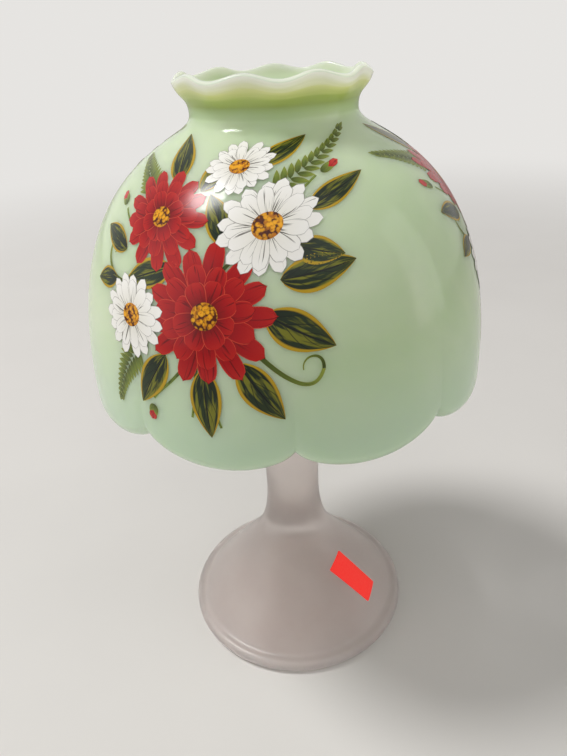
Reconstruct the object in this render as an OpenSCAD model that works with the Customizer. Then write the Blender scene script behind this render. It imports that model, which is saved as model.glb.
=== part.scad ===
// Fairy lamp: a scalloped opal glass shade on a frosted glass pedestal, with its candle.
// Millimetres, +Z up, origin at the centre of the foot's underside. Azimuths run from -Y towards +X.

/* [Foot and stem] */
// Outer radius of the foot
foot_r = 44; // [40:0.5:50]
// Radius of the bead around the foot's edge
bead_r = 2.4; // [1.8:0.1:3]
// Width of the flat rim, from the foot's edge to the start of the bell
rim_w = 4.4; // [3.5:0.1:6]
// Height of the flat rim where the bell starts
rim_h = 5.3; // [4.9:0.1:7]
// Glass thickness of the hollow bell
foot_wall = 5; // [4:0.1:6.5]
// Radius where the bell's cone turns into the stem
bell_top_r = 18.5; // [16:0.1:21]
// Height where the bell's cone turns into the stem
bell_top_z = 30.6; // [27:0.1:34]
// Radius of the stem at its waist
waist_r = 10.2; // [8:0.1:12]
// Height of the waist
waist_z = 59; // [54:0.5:64]
// Reach of the stem's curve, up along the bell's cone
flare_reach = 9; // [6:0.5:12]
// Reach of the stem's curve, down from the waist
waist_drop = 12; // [8:0.5:15]
// Reach of the upper stem's curve, up from the waist
waist_rise = 19; // [14:0.5:24]

/* [Socket cup] */
// Height of the socket's floor
socket_floor_z = 101; // [98:0.5:110]
// Depth of the socket
socket_depth = 12; // [10:0.5:15]
// Glass thickness of the socket's wall
socket_wall = 2.6; // [2.2:0.1:3.5]
// Width of the shoulder that carries the gallery
shoulder_w = 1.8; // [1.4:0.1:2]
// Height of the socket's rim above the shoulder
shoulder_drop = 6; // [5.5:0.1:8]
// Height of the shoulder's edge
shoulder_t = 6.5; // [4:0.1:8]
// Reach of the flare under the shoulder, inwards
cup_flare_in = 14.2; // [10:0.1:16]
// Reach of the flare under the shoulder, downwards
cup_flare_down = 8.5; // [5:0.1:12]
// Radial gap between the socket and the candle cup
socket_gap = 0.4; // [0.3:0.05:0.8]

/* [Price sticker] */
// Length of the label, down the bell
sticker_l = 22; // [18:0.1:24]
// Width of the label
sticker_w = 9.4; // [8:0.1:12]
// Thickness of the label
sticker_t = 0.15; // [0.1:0.01:0.3]
// Azimuth of the label's middle
sticker_turn = 56; // [0:1:359]
// Tilt of the label on the bell
sticker_tilt = 16; // [-20:1:20]
// Height of the label's middle
sticker_z = 20; // [18:0.1:22]

/* [Gallery] */
// Thickness of the collar's and arms' sheet brass
sheet_t = 1.2; // [0.8:0.1:1.6]
// Thickness of the ring's flange
ring_t = 1.2; // [1:0.1:2]
// Width of the ring under the scallops
ring_bearing = 3.7; // [3:0.1:4.5]
// Width of the ring's land inside its rib
ring_land = 3.4; // [3.3:0.1:3.8]
// Width of the locating rib
rib_w = 1; // [0.8:0.1:1.4]
// Height of the locating rib above the flange
rib_h = 3.2; // [2:0.1:4]
// Radial gap between the rib and the shade's turned-in edge
rib_gap = 0.8; // [0.5:0.1:1.5]
// Wall of the collar's sleeve
sleeve_w = 1; // [0.8:0.1:1.4]
// Height of the collar's sleeve above its flange
sleeve_h = 4; // [2.5:0.1:4.2]
// Width of the collar's flange outside the sleeve
hub_land = 4.6; // [4.2:0.1:5]
// Radial gap between the sleeve and the socket
hub_gap = 0.3; // [0.25:0.05:0.6]
// Width of an arm
arm_w = 7; // [5:0.1:9]
// Length of an arm beyond its outer rivet
arm_tail = 4; // [2.5:0.1:5]
// Azimuth of the first arm
arm_turn = 61; // [0:1:119]
// Radius of a rivet's shank
rivet_r = 0.95; // [0.7:0.05:1.1]
// Radius of a rivet's heads
rivet_head_r = 1.5; // [1.3:0.05:1.6]
// Height of a rivet's heads
rivet_head_h = 0.8; // [0.5:0.05:1]

/* [Candle] */
// Outer radius of the tealight's tin
tin_r = 18.9; // [17:0.1:19.5]
// Height of the tin
tin_h = 16; // [12:0.5:20]
// Thickness of the tin's sheet
tin_wall = 0.4; // [0.3:0.05:0.6]
// Depth of the wax
wax_h = 13.4; // [9:0.1:14]
// Radius of the wick
wick_r = 0.75; // [0.6:0.05:1]
// Length of wick above the wax
wick_show = 7; // [4:0.5:10]
// Radius of the wick sustainer's disc
sustainer_r = 7; // [5:0.1:9]
// Thickness of the sustainer's disc
sustainer_t = 0.5; // [0.4:0.05:0.8]
// Height of the sustainer's neck above its disc
sustainer_neck_h = 4; // [2:0.1:6]
// Wall of the sustainer's neck
sustainer_neck_w = 0.5; // [0.4:0.05:0.8]
// Radial gap between the tin and the candle cup
tin_gap = 0.8; // [0.5:0.1:1.5]
// Glass thickness of the candle cup's wall
cup_wall = 2.2; // [1.8:0.1:2.8]
// Glass thickness of the candle cup's bottom
cup_base = 3.5; // [2.5:0.1:5]
// Rounding around the candle cup's bottom
cup_round = 1.5; // [0.8:0.1:2]
// Height of the candle cup
cup_h = 34; // [28:0.5:40]

/* [Shade] */
// Glass thickness of the shade
shade_wall = 3.2; // [2.6:0.1:3.4]
// Largest radius of the shade
belt_r = 65; // [60:0.1:70]
// Radius of the opening between the turned-in scallops
lip_r = 43.5; // [42:0.1:48]
// Radius of the edge at a notch
notch_r = 56.5; // [53:0.1:58]
// Radius of the curl under a scallop
curl_r = 4.8; // [4:0.1:8]
// Radius of the curl at a notch
notch_curl_r = 4.2; // [3.8:0.1:5]
// How far the glass is drawn in at a notch
notch_in = 0.5; // [0:0.1:2]
// Number of scallops
scallop_count = 9; // [7:1:12]
// Height of a notch above the scallops
scallop_h = 6.6; // [4:0.1:10]
// Azimuth of the first notch
scallop_turn = 1; // [0:1:39]
// Height of the neck above the scallops
neck_h = 84; // [78:0.1:92]
// Outer radius of the neck
neck_r = 24.4; // [24:0.1:27]
// Reach of the dome's side, up from its largest radius
dome_reach = 72; // [62:0.5:76]
// Reach of the dome's throat, down from the neck
throat_reach = 9; // [6:0.5:12]
// Height of the collar above the neck
collar_h = 9.3; // [6:0.1:11]
// Outer radius of the collar's lip
collar_r = 28.2; // [27:0.1:31]
// Glass thickness of the collar's lip
collar_wall = 2.4; // [2:0.1:3.2]
// Number of ruffles on the collar
ruffle_count = 9; // [6:1:12]
// Height of a ruffle above and below the lip's mean
ruffle_h = 0.9; // [0:0.1:1.2]
// How far a ruffle's low part folds outward
ruffle_fold = 1.1; // [0:0.1:1.4]
// Azimuth of the first ruffle's top
ruffle_turn = 22; // [0:1:39]

/* [Hidden] */
$fn = 96;
// Gap where one body stands on another
seat_gap = 0.2;
// Gap between fixed round pieces
fit_gap = 0.05;
// Fullness of a scallop, and the rounding of the notch between two
scallop_full = 0.5;
notch_soft = 0.11;
// How soon the drawn-in glass over a notch levels out
notch_fade = 8;
// Steps of a rounded edge, and of a stretch of the stem
round_steps = 8;
curve_steps = 14;
// Shade columns in one scallop, how they crowd at a notch, and rows on each stretch of its profile
scallop_steps = 10;
notch_crowding = 0.6;
curl_steps = 4;
dome_steps = 10;
collar_steps = 6;
// Shape of the collar's flare, as shares of its width and height
collar_low = [0.1, 0.22];
collar_high = [0.95, 0.62];

// Bell: its cone, and the directions along it and square to it
bell_foot_r = foot_r - rim_w;
bell_dir = [bell_top_r - bell_foot_r, bell_top_z - rim_h];
bell_len = norm(bell_dir);
bell_along = bell_dir / bell_len;
bell_out = [bell_along[1], -bell_along[0]];
bell_slope = atan2(bell_along[1], -bell_along[0]);

// Radii from the candle outwards
cup_inner_r = tin_r + tin_gap;
cup_r = cup_inner_r + cup_wall;
socket_r = cup_r + socket_gap;
socket_outer_r = socket_r + socket_wall;
shoulder_r = socket_outer_r + shoulder_w;
sleeve_r = socket_outer_r + hub_gap;
hub_land_r = sleeve_r + sleeve_w;
hub_r = hub_land_r + hub_land;
hub_rivet_r = hub_land_r + hub_land / 2;

// Radii from the shade's rounded edge inwards
shade_edge = 0.35 * shade_wall;
lip_edge = 0.35 * collar_wall;
ring_r = lip_r + ring_bearing;
rib_outer_r = lip_r - shade_edge - rib_gap;
rib_inner_r = rib_outer_r - rib_w;
ring_inner_r = rib_inner_r - ring_land;
ring_rivet_r = rib_inner_r - ring_land / 2;
arm_start_r = hub_land_r + fit_gap;
arm_end_r = ring_rivet_r + arm_tail;
rivet_hole_r = rivet_r + fit_gap;

// Heights from the socket upwards
socket_rim_z = socket_floor_z + socket_depth;
shoulder_z = socket_rim_z - shoulder_drop;
hub_z = shoulder_z + seat_gap;
arm_z = hub_z + sheet_t;
ring_z = arm_z + sheet_t;
shade_z = ring_z + ring_t + seat_gap;
cup_z = socket_floor_z + seat_gap;
cup_floor_z = cup_z + cup_base;
tin_z = cup_floor_z + seat_gap;
tin_floor_z = tin_z + tin_wall;
wax_top_z = tin_floor_z + wax_h;
wick_top_z = wax_top_z + wick_show;

// Heights of the shade
neck_z = shade_z + neck_h;
belt_z = shade_z + curl_r;

// Point of a cubic curve with four control points
function curve(p, t) = p[0] * pow(1 - t, 3) + 3 * p[1] * t * pow(1 - t, 2)
    + 3 * p[2] * t * t * (1 - t) + p[3] * pow(t, 3);

// Points of a cubic curve, without its last
function curve_points(p, steps) = [for (i = [0:steps - 1]) curve(p, i / steps)];

// Points of an arc, both ends included
function arc_points(centre, r, from, to, steps) =
    [for (i = [0:steps]) let (a = from + (to - from) * i / steps) centre + r * [cos(a), sin(a)]];

// Turns an azimuth into the angle from +X
function from_x(azimuth) = azimuth - 90;

// Fullness of the scallop at an azimuth: 1 in its middle, 0 at a notch
function scallop(a) =
    let (wave = sin(scallop_count / 2 * (a - scallop_turn)),
        soft = sqrt(wave * wave + notch_soft * notch_soft) - notch_soft,
        most = sqrt(1 + notch_soft * notch_soft) - notch_soft)
    pow(soft / most, scallop_full);

// Azimuth of a shade column, counted in scallops, closer together at the notches
function column_azimuth(n) =
    scallop_turn + 360 / scallop_count * (n - notch_crowding / (2 * PI) * sin(360 * n));

// Ruffle of the collar's lip at an azimuth, from -1 to 1
function ruffle(a) = cos(ruffle_count * (a - ruffle_turn));

// Outside of the dome, from its largest radius to the neck
dome = [[belt_r, belt_z], [belt_r, belt_z + dome_reach], [neck_r, neck_z - throat_reach], [neck_r, neck_z]];

// Point of the collar at these shares of its width and height
function collar_point(share) = [neck_r + share[0] * (collar_r - neck_r), neck_z + share[1] * collar_h];

// Place on the dome's curve that is about this high above its start
function dome_place(rise) =
    let (first = rise / (3 * dome_reach))
    first + first * first * (2 - (neck_z - throat_reach - belt_z) / dome_reach);

// Outer profile of the shade at an azimuth, as [radius, height] from the turned-in edge to the lip
function shade_profile(a) =
    let (gap = 1 - scallop(a),
        edge_r = lip_r + (notch_r - lip_r) * gap,
        turn_r = curl_r + (notch_curl_r - curl_r) * gap,
        start = dome_place(gap * (scallop_h + notch_curl_r - curl_r)),
        side = curve(dome, start) - [notch_in * gap, 0],
        wave = ruffle(a))
    concat(
        [[edge_r, side[1] - turn_r]],
        arc_points(side - [turn_r, 0], turn_r, -90, 0, curl_steps),
        [for (i = [1:dome_steps - 1]) let (t = i / dome_steps)
            curve(dome, start + (1 - start) * t) - [notch_in * gap * pow(1 - t, notch_fade), 0]],
        [for (i = [0:collar_steps]) let (t = i / collar_steps)
            curve([collar_point([0, 0]), collar_point(collar_low), collar_point(collar_high), collar_point([1, 1])], t)
            + wave * t * t * [-ruffle_fold, ruffle_h]]);

// Unit direction of a profile at one of its points
function heading(p, i) =
    let (d = p[min(i + 1, len(p) - 1)] - p[max(i - 1, 0)])
    d / norm(d);

// Closed section of the shade's glass at an azimuth: outer profile, rounded lip, inner profile, rounded edge
function shade_section(a) =
    let (outer = shade_profile(a),
        last = len(outer) - 1,
        inner = [for (i = [0:last]) let (h = heading(outer, i), up = max(0, 1 - (last - i) / collar_steps))
            outer[i] + (shade_wall + (collar_wall - shade_wall) * up) * [-h[1], h[0]]],
        lip = (outer[last] + inner[last]) / 2 + lip_edge * heading(outer, last),
        edge = (outer[0] + inner[0]) / 2 - shade_edge * heading(outer, 0))
    concat(outer, [lip], [for (i = [0:last]) inner[last - i]], [edge]);

module pedestal_base() {
    hollow_foot = [bell_foot_r, rim_h] - foot_wall * bell_out;
    hollow_top = [bell_top_r, bell_top_z] - foot_wall * bell_out;
    rest_r = hollow_foot[0] - bell_along[0] / bell_along[1] * hollow_foot[1];
    hollow_z = hollow_top[1] + hollow_top[0] / 2;
    shoulder_low = [shoulder_r, shoulder_z - shoulder_t];
    hollow_reach = hollow_top[0] / 4;
    rim_round = socket_wall / 2;
    outside = concat(
        [[rest_r, 0]],
        arc_points([foot_r - bead_r, bead_r], bead_r, -90, 90, round_steps),
        [[bell_foot_r, rim_h]],
        curve_points([[bell_top_r, bell_top_z], [bell_top_r, bell_top_z] + flare_reach * bell_along,
            [waist_r, waist_z - waist_drop], [waist_r, waist_z]], curve_steps),
        curve_points([[waist_r, waist_z], [waist_r, waist_z + waist_rise],
            shoulder_low - [cup_flare_in, cup_flare_down], shoulder_low], curve_steps),
        [shoulder_low, [shoulder_r, shoulder_z], [socket_outer_r, shoulder_z]],
        arc_points([socket_r + rim_round, socket_rim_z - rim_round], rim_round, 0, 180, round_steps));
    inside = concat(
        [[socket_r, socket_floor_z], [0, socket_floor_z], [0, hollow_z]],
        [for (i = [1:round_steps]) curve([[0, hollow_z], [hollow_top[0] / 2, hollow_z],
            hollow_top + hollow_reach * bell_along, hollow_top], i / round_steps)]);
    color("#cdbfb8")
        rotate_extrude() polygon(concat(outside, inside));
}

module price_sticker() {
    middle_r = bell_foot_r + (sticker_z - rim_h) * bell_along[0] / bell_along[1];
    skin = [[bell_foot_r, rim_h] + fit_gap * bell_out, [bell_top_r, bell_top_z] + fit_gap * bell_out];
    depth = 8;
    color("#f4442e")
        intersection() {
            rotate_extrude() polygon([skin[0], skin[0] + sticker_t * bell_out,
                skin[1] + sticker_t * bell_out, skin[1]]);
            rotate([0, 0, from_x(sticker_turn)]) translate([middle_r, 0, sticker_z])
                rotate([0, bell_slope, 0]) rotate([0, 0, sticker_tilt])
                    cube([sticker_l, sticker_w, depth], center = true);
        }
}

// Places its children at each arm
module at_arms() {
    for (i = [0:2])
        rotate([0, 0, from_x(arm_turn + 120 * i)]) children();
}

module rivet_holes() {
    at_arms()
        for (r = [hub_rivet_r, ring_rivet_r])
            translate([r, 0, shoulder_z]) cylinder(r = rivet_hole_r, h = shade_z - shoulder_z, $fn = 32);
}

module hub_collar() {
    color("#b8923e")
        difference() {
            rotate_extrude() polygon([[sleeve_r, hub_z], [hub_r, hub_z], [hub_r, hub_z + sheet_t],
                [hub_land_r, hub_z + sheet_t], [hub_land_r, hub_z + sheet_t + sleeve_h],
                [sleeve_r, hub_z + sheet_t + sleeve_h]]);
            rivet_holes();
        }
}

module ring_arm(number) {
    color("#b08a38")
        difference() {
            intersection() {
                rotate([0, 0, from_x(arm_turn + 120 * (number - 1))])
                    translate([0, -arm_w / 2, arm_z]) cube([arm_end_r, arm_w, sheet_t]);
                difference() {
                    cylinder(r = arm_end_r, h = arm_z + sheet_t);
                    cylinder(r = arm_start_r, h = arm_z + sheet_t);
                }
            }
            rivet_holes();
        }
}

// One rivet through two sheets, standing on height z
module rivet(z, thickness) {
    translate([0, 0, z]) cylinder(r = rivet_r, h = thickness, $fn = 32);
    translate([0, 0, z - rivet_head_h]) cylinder(r1 = rivet_r, r2 = rivet_head_r, h = rivet_head_h, $fn = 32);
    translate([0, 0, z + thickness]) cylinder(r1 = rivet_head_r, r2 = rivet_r, h = rivet_head_h, $fn = 32);
}

module arm_rivets() {
    color("#8f6d2a")
        at_arms() {
            translate([hub_rivet_r, 0, 0]) rivet(hub_z, 2 * sheet_t);
            translate([ring_rivet_r, 0, 0]) rivet(arm_z, sheet_t + ring_t);
        }
}

module shade_ring() {
    flange_z = ring_z + ring_t;
    color("#c09a45")
        difference() {
            rotate_extrude() polygon([[ring_inner_r, ring_z], [ring_r, ring_z], [ring_r, flange_z],
                [rib_outer_r, flange_z], [rib_outer_r, flange_z + rib_h], [rib_inner_r, flange_z + rib_h],
                [rib_inner_r, flange_z], [ring_inner_r, flange_z]]);
            rivet_holes();
        }
}

module shade() {
    columns = scallop_count * scallop_steps;
    rows = len(shade_section(0));
    points = [for (i = [0:columns - 1]) let (a = column_azimuth(i / scallop_steps))
        for (p = shade_section(a)) [p[0] * sin(a), -p[0] * cos(a), p[1]]];
    corner = function (i, j) (i % columns) * rows + j % rows;
    faces = [for (i = [0:columns - 1]) for (j = [0:rows - 1]) each [
        [corner(i, j), corner(i, j + 1), corner(i + 1, j + 1)],
        [corner(i, j), corner(i + 1, j + 1), corner(i + 1, j)]]];
    color("#cfe6c6")
        polyhedron(points, faces);
}

module candle_cup() {
    rim_round = cup_wall / 2;
    color("#e8eef0")
        rotate_extrude() polygon(concat(
            [[0, cup_z]],
            arc_points([cup_r - cup_round, cup_z + cup_round], cup_round, -90, 0, round_steps),
            arc_points([cup_r - rim_round, cup_z + cup_h - rim_round], rim_round, 0, 180, round_steps),
            [[cup_inner_r, cup_floor_z], [0, cup_floor_z]]));
}

module tealight_tin() {
    color("#c9ccd0")
        difference() {
            translate([0, 0, tin_z]) cylinder(r = tin_r, h = tin_h);
            translate([0, 0, tin_floor_z]) cylinder(r = tin_r - tin_wall, h = tin_h);
        }
}

// Space inside the wax for the wick and its sustainer
module wick_space() {
    translate([0, 0, tin_floor_z]) cylinder(r = sustainer_r + fit_gap, h = sustainer_t + fit_gap);
    translate([0, 0, tin_floor_z])
        cylinder(r = wick_r + 2 * fit_gap + sustainer_neck_w, h = sustainer_t + sustainer_neck_h + fit_gap);
    translate([0, 0, tin_floor_z]) cylinder(r = wick_r + fit_gap, h = tin_h);
}

module tealight_wax() {
    color("#f3ecd8")
        difference() {
            translate([0, 0, tin_floor_z]) cylinder(r = tin_r - tin_wall - fit_gap, h = wax_h);
            wick_space();
        }
}

module wick_sustainer() {
    color("#a9adb2")
        difference() {
            union() {
                translate([0, 0, tin_floor_z]) cylinder(r = sustainer_r, h = sustainer_t);
                translate([0, 0, tin_floor_z])
                    cylinder(r = wick_r + fit_gap + sustainer_neck_w, h = sustainer_t + sustainer_neck_h);
            }
            translate([0, 0, tin_floor_z]) cylinder(r = wick_r + fit_gap, h = tin_h);
        }
}

module wick() {
    color("#efe8d8")
        translate([0, 0, tin_floor_z]) cylinder(r = wick_r, h = wick_top_z - tin_floor_z, $fn = 24);
}

pedestal_base();
price_sticker();
hub_collar();
ring_arm(1);  // ring_arm_1
ring_arm(2);  // ring_arm_2
ring_arm(3);  // ring_arm_3
arm_rivets();
shade_ring();
shade();
candle_cup();
tealight_tin();
tealight_wax();
wick();
wick_sustainer();
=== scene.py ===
import math
import random

import bpy
from mathutils import Matrix, Vector


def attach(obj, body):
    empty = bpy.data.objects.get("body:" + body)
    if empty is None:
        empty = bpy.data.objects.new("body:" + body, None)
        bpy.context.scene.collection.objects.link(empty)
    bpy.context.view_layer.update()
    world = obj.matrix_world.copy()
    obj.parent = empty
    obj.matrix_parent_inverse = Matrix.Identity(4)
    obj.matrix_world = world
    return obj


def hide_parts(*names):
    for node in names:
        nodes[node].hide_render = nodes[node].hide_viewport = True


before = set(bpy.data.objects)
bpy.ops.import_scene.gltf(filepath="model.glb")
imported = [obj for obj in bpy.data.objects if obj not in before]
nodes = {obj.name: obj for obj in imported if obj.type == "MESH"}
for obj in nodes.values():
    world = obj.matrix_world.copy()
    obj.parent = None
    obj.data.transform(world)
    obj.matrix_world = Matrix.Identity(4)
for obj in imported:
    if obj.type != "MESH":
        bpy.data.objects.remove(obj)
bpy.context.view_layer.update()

mm = 0.001


# Small helpers for pieces

def clearSelection():
    if bpy.context.object and bpy.context.object.mode != "OBJECT":
        bpy.ops.object.mode_set(mode="OBJECT")
    bpy.ops.object.select_all(action="DESELECT")


def pick(piece):
    clearSelection()
    piece.select_set(True)
    bpy.context.view_layer.objects.active = piece


def copied(name, mesh):  # new object with its own copy of a mesh
    copy = bpy.data.objects.new(name, mesh.copy())
    bpy.context.scene.collection.objects.link(copy)
    return copy


def joined(pieces):
    clearSelection()
    for piece in pieces:
        piece.select_set(True)
    bpy.context.view_layer.objects.active = pieces[0]
    bpy.ops.object.join()
    return pieces[0]


def facedOut(piece):
    pick(piece)
    bpy.ops.object.mode_set(mode="EDIT")
    bpy.ops.mesh.select_all(action="SELECT")
    bpy.ops.mesh.normals_make_consistent(inside=False)
    bpy.ops.object.mode_set(mode="OBJECT")


def share(value):  # kept between 0 and 1
    return min(1, max(0, value))


def curvePoint(p, t):  # cubic curve with four control points
    return tuple(a * (1 - t) ** 3 + 3 * b * t * (1 - t) ** 2 + 3 * c * t * t * (1 - t) + d * t ** 3
                 for a, b, c, d in zip(*p))


def curveRun(p, steps):  # points of a curve without its last
    return [curvePoint(p, i / steps) for i in range(steps)]


def arcRun(centre, radius, start, end, steps):  # both ends included
    turns = [math.radians(start + (end - start) * i / steps) for i in range(steps + 1)]
    return [(centre[0] + radius * math.cos(t), centre[1] + radius * math.sin(t)) for t in turns]


def drawOutline(name, points):  # draws radius and height, in mm, point by point
    clearSelection()
    bpy.ops.mesh.primitive_plane_add(size=mm)
    piece = bpy.context.object
    piece.name = name
    bpy.ops.object.mode_set(mode="EDIT")
    bpy.ops.mesh.select_all(action="SELECT")
    bpy.ops.mesh.merge(type="CENTER")
    last = (0, 0)
    for i, (r, z) in enumerate(points):
        step = ((r - last[0]) * mm, 0, (z - last[1]) * mm)
        if i == 0:
            bpy.ops.transform.translate(value=step)
        else:
            bpy.ops.mesh.extrude_region_move(TRANSFORM_OT_translate={"value": step})
        last = (r, z)
    return piece


def spinOutline(piece, steps, smoothAngle):
    bpy.ops.mesh.select_all(action="SELECT")
    bpy.ops.mesh.spin(steps=steps, angle=2 * math.pi, center=(0, 0, 0), axis=(0, 0, 1))
    bpy.ops.mesh.select_all(action="SELECT")
    bpy.ops.mesh.remove_doubles(threshold=0.002 * mm)
    bpy.ops.mesh.normals_make_consistent(inside=False)
    bpy.ops.object.mode_set(mode="OBJECT")
    bpy.ops.object.shade_smooth_by_angle(angle=math.radians(smoothAngle))
    return piece


def turned(name, points, steps, smoothAngle=40):  # closed outline, turned about the lamp's axis
    return spinOutline(drawOutline(name, points + [points[0]]), steps, smoothAngle)


def finishPiece(piece, material, body, slot, *replaced):
    piece.data.materials.clear()
    piece.data.materials.append(material)
    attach(piece, body)
    if replaced:
        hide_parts(*replaced)
    print("made", piece.name, len(piece.data.polygons), "faces")
    return piece


# Small helpers for materials

def linear(hexValue):
    channels = [int(hexValue[i:i + 2], 16) / 255 for i in (1, 3, 5)]
    return tuple(c / 12.92 if c <= 0.04045 else ((c + 0.055) / 1.055) ** 2.4 for c in channels) + (1.0,)


def addNode(tree, kind, inputs=None, stops=None, **settings):
    node = tree.nodes.new("ShaderNode" + kind)
    for key, value in settings.items():
        setattr(node, key, value)
    if stops:  # colour ramp: place and hex colour, or place and grey level
        while len(node.color_ramp.elements) < len(stops):
            node.color_ramp.elements.new(0.5)
        for element, (place, shade) in zip(node.color_ramp.elements, stops):
            element.position = place
            element.color = linear(shade) if isinstance(shade, str) else (shade, shade, shade, 1)
    for key, value in (inputs or {}).items():
        if isinstance(value, bpy.types.NodeSocket):
            tree.links.new(value, node.inputs[key])
        else:
            node.inputs[key].default_value = value
    return node


def newMaterial(name):
    material = bpy.data.materials.new(name)
    material.use_nodes = True
    material.node_tree.nodes.clear()
    return material, material.node_tree


def pattern(tree, kind, size, **inputs):  # features about this size across, in mm
    place = addNode(tree, "TexCoord").outputs["Object"]
    return addNode(tree, "Tex" + kind, {"Vector": place, "Scale": 1 / (size * mm), **inputs}).outputs


def ramp(tree, value, *stops):
    return addNode(tree, "ValToRGB", {"Fac": value}, stops=stops).outputs["Color"]


def ranged(tree, value, low, high, start=0.0, end=1.0, **settings):  # start to end becomes low to high
    return addNode(tree, "MapRange", {"Value": value, "From Min": start, "From Max": end,
                                      "To Min": low, "To Max": high}, **settings).outputs["Result"]


def counted(tree, operation, *values, **settings):
    return addNode(tree, "Math", dict(enumerate(values)), operation=operation, **settings).outputs[0]


def blended(tree, factor, first, second, **settings):
    return addNode(tree, "Mix", {"Factor": factor, "A": first, "B": second}, data_type="RGBA",
                   **settings).outputs["Result"]


def bumped(tree, height, strength, depth):  # depth in mm
    return addNode(tree, "Bump", {"Height": height, "Strength": strength, "Distance": depth * mm}).outputs["Normal"]


def carried(tree, name):  # value that the mesh carries
    return addNode(tree, "Attribute", attribute_name=name).outputs["Fac"]


def coated(tree, inputs):
    surface = addNode(tree, "BsdfPrincipled", inputs)
    addNode(tree, "OutputMaterial", {"Surface": surface.outputs["BSDF"]})


# Camera, floor and light

cameraSet = {"place": (0, -0.19153, 0.21348), "pitch": 0.5129, "roll": -0.05495, "yaw": -0.00744,
             "lens": 28.966, "sensor": 36, "near": 0.01}


def makeCamera():
    s = cameraSet
    cosP, sinP = math.cos(s["pitch"]), math.sin(s["pitch"])
    cosY, sinY = math.cos(s["yaw"]), math.sin(s["yaw"])
    cosR, sinR = math.cos(s["roll"]), math.sin(s["roll"])
    ahead = Vector((sinY * cosP, cosY * cosP, -sinP))
    right = Vector((cosY, -sinY, 0))
    up = right.cross(ahead)
    axes = Matrix((cosR * right + sinR * up, -sinR * right + cosR * up, -ahead)).transposed()
    bpy.ops.object.camera_add()
    camera = bpy.context.object
    camera.name = "photoCamera"
    camera.matrix_world = Matrix.Translation(s["place"]) @ axes.to_4x4()
    camera.data.lens = s["lens"]
    camera.data.sensor_width = s["sensor"]
    camera.data.clip_start = s["near"]
    bpy.context.scene.camera = camera
    print("camera set")


studio = {"floor": ("#dad7d3", "#dcd9d5"), "floorRadius": 6, "floorZ": -0.0002, "grain": 60,
          "air": "#f1efec", "airLight": 0.32, "airSeen": 0.9, "fadeFrom": 0.35, "fadeTo": 1.1, "aim": (0, 0, 0.14)}
lampSets = {"key": {"place": (-1.02, 0.09, 1.92), "size": (0.6, 0.6), "power": 26, "shape": "ELLIPSE"},
            "side": {"place": (-0.95, -0.35, 0.5), "size": (0.9, 0.9), "power": 1.9, "shape": "RECTANGLE"},
            "front": {"place": (0.1, -0.62, 1.15), "size": (1.1, 1.1), "power": 2.9, "shape": "RECTANGLE"},
            "fill": {"place": (0.9, -0.1, 0.42), "size": (0.34, 0.8), "power": 1.1, "shape": "RECTANGLE"}}


def studioPaper():
    # matte studio paper: even and pale, with no shine, and it fades into the air far off
    s = studio
    material, tree = newMaterial("matte studio paper")
    grain = pattern(tree, "Noise", s["grain"], Detail=2)["Fac"]
    tone = ramp(tree, grain, (0.3, s["floor"][0]), (0.7, s["floor"][1]))
    paper = addNode(tree, "BsdfPrincipled", {"Base Color": tone, "Roughness": 0.9})
    place = addNode(tree, "TexCoord").outputs["Object"]
    farOff = addNode(tree, "VectorMath", {0: place}, operation="LENGTH").outputs["Value"]
    fade = ranged(tree, farOff, 0.0, 1.0, s["fadeFrom"], s["fadeTo"], interpolation_type="SMOOTHSTEP")
    hazy = counted(tree, "MULTIPLY", fade, addNode(tree, "LightPath").outputs["Is Camera Ray"])
    haze = addNode(tree, "Emission", {"Color": linear(s["air"]), "Strength": s["airSeen"]})
    mix = addNode(tree, "MixShader", {0: hazy, 1: paper.outputs["BSDF"], 2: haze.outputs["Emission"]})
    addNode(tree, "OutputMaterial", {"Surface": mix.outputs["Shader"]})
    return material


def makeStudio():
    s = studio
    clearSelection()
    bpy.ops.mesh.primitive_circle_add(vertices=96, radius=s["floorRadius"], fill_type="NGON")
    floor = bpy.context.object
    floor.name = "studioFloor"
    floor.location.z = s["floorZ"]
    floor.data.materials.append(studioPaper())

    world = bpy.data.worlds.new("studio air")
    bpy.context.scene.world = world
    world.use_nodes = True
    tree = world.node_tree
    tree.nodes.clear()
    rays = addNode(tree, "LightPath").outputs
    seen = counted(tree, "MAXIMUM", rays["Is Camera Ray"], rays["Is Glossy Ray"])
    seen = counted(tree, "MAXIMUM", seen, rays["Is Transmission Ray"])
    level = ranged(tree, seen, s["airLight"], s["airSeen"])
    air = addNode(tree, "Background", {"Color": linear(s["air"]), "Strength": level})
    addNode(tree, "OutputWorld", {"Surface": air.outputs["Background"]})

    for name, lampSet in lampSets.items():
        bpy.ops.object.light_add(type="AREA", location=lampSet["place"])
        lamp = bpy.context.object
        lamp.name = name + "Lamp"
        towards = Vector(s["aim"]) - Vector(lampSet["place"])
        lamp.rotation_euler = towards.to_track_quat("-Z", "Y").to_euler()
        lamp.data.shape = lampSet["shape"]
        lamp.data.size, lamp.data.size_y = lampSet["size"]
        lamp.data.energy = lampSet["power"]
    bpy.context.scene.view_settings.view_transform = "Standard"
    print("studio set")


makeCamera()
makeStudio()


# Opal glass shade

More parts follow.
